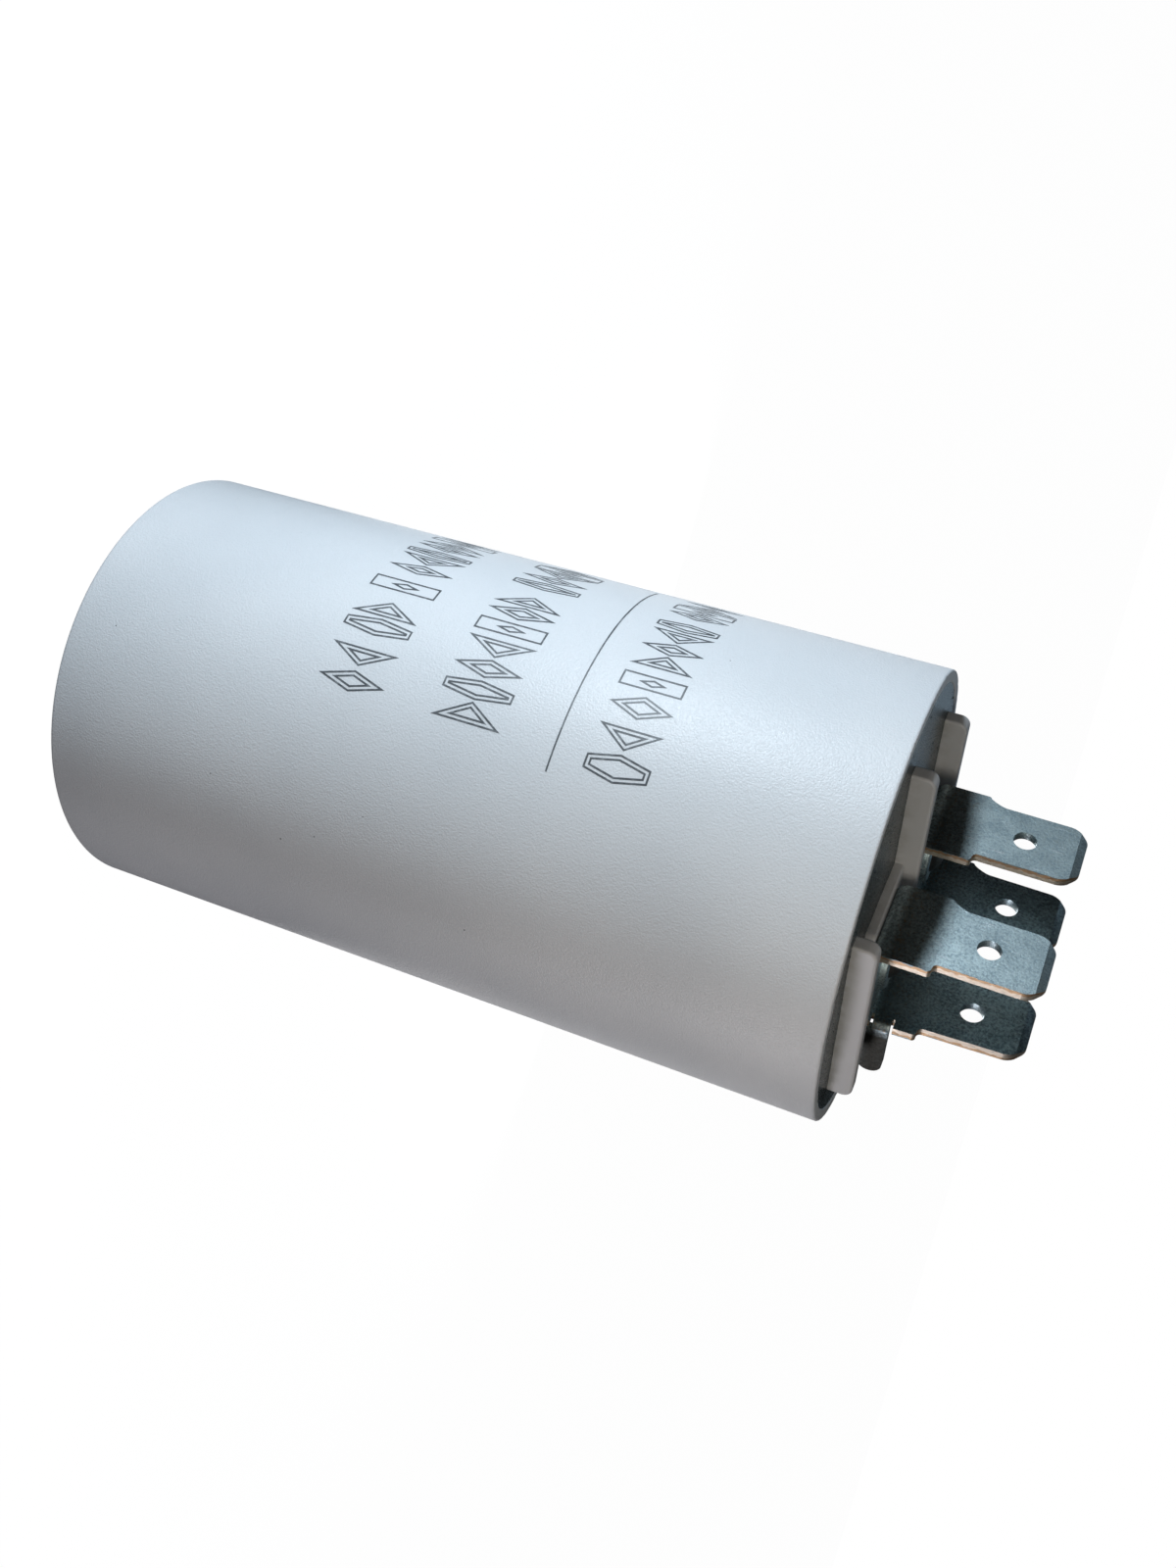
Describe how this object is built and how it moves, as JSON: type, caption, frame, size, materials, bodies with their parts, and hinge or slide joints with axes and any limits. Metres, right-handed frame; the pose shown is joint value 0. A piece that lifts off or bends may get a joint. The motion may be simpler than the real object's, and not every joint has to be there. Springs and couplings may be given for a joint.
{
  "type": "capacitor",
  "caption": "Round motor-run film capacitor: a white plastic can potted at its open end, with a fenced terminal board and U-shaped double push-on tab terminals with side solder lugs.",
  "frame": {"origin": "centre of the flat closed end, which the can stands on", "axes": "+Z along the can's axis from the closed end to the terminals; +X across the three fences of the terminal board, from one double terminal to the other; +Y along the fences, away from the side solder lugs"},
  "size_m": [0.04, 0.04, 0.0862],
  "materials": {
    "can_plastic": "white, fine grain",
    "resin": "grey cast resin with a smooth top",
    "board_plastic": "white moulded",
    "tinned_strip": "matt tin plate",
    "rivet_metal": "tin plate",
    "film": "rolled metallised film",
    "core_plastic": "natural plastic",
    "wrap_film": "clear film",
    "sprayed_zinc": "rough sprayed metal",
    "tinned_wire": "tinned copper",
    "sleeve_plastic": "plain insulation",
    "solder": "bright solder"
  },
  "bodies": {
    "root": {"can": "can_plastic", "potting_resin": "resin", "terminal_board": "board_plastic", "terminal_left": "tinned_strip", "terminal_right": "tinned_strip", "rivet_left": "rivet_metal", "rivet_right": "rivet_metal", "film_winding": "film", "winding_core": "core_plastic", "winding_wrap": "wrap_film", "end_metal_lower": "sprayed_zinc", "end_metal_upper": "sprayed_zinc", "lead_long": "tinned_wire", "lead_short": "tinned_wire", "sleeve_long": "sleeve_plastic", "sleeve_short": "sleeve_plastic", "solder_left": "solder", "solder_right": "solder", "solder_lower": "solder", "solder_upper": "solder"}
  },
  "joints": []
}
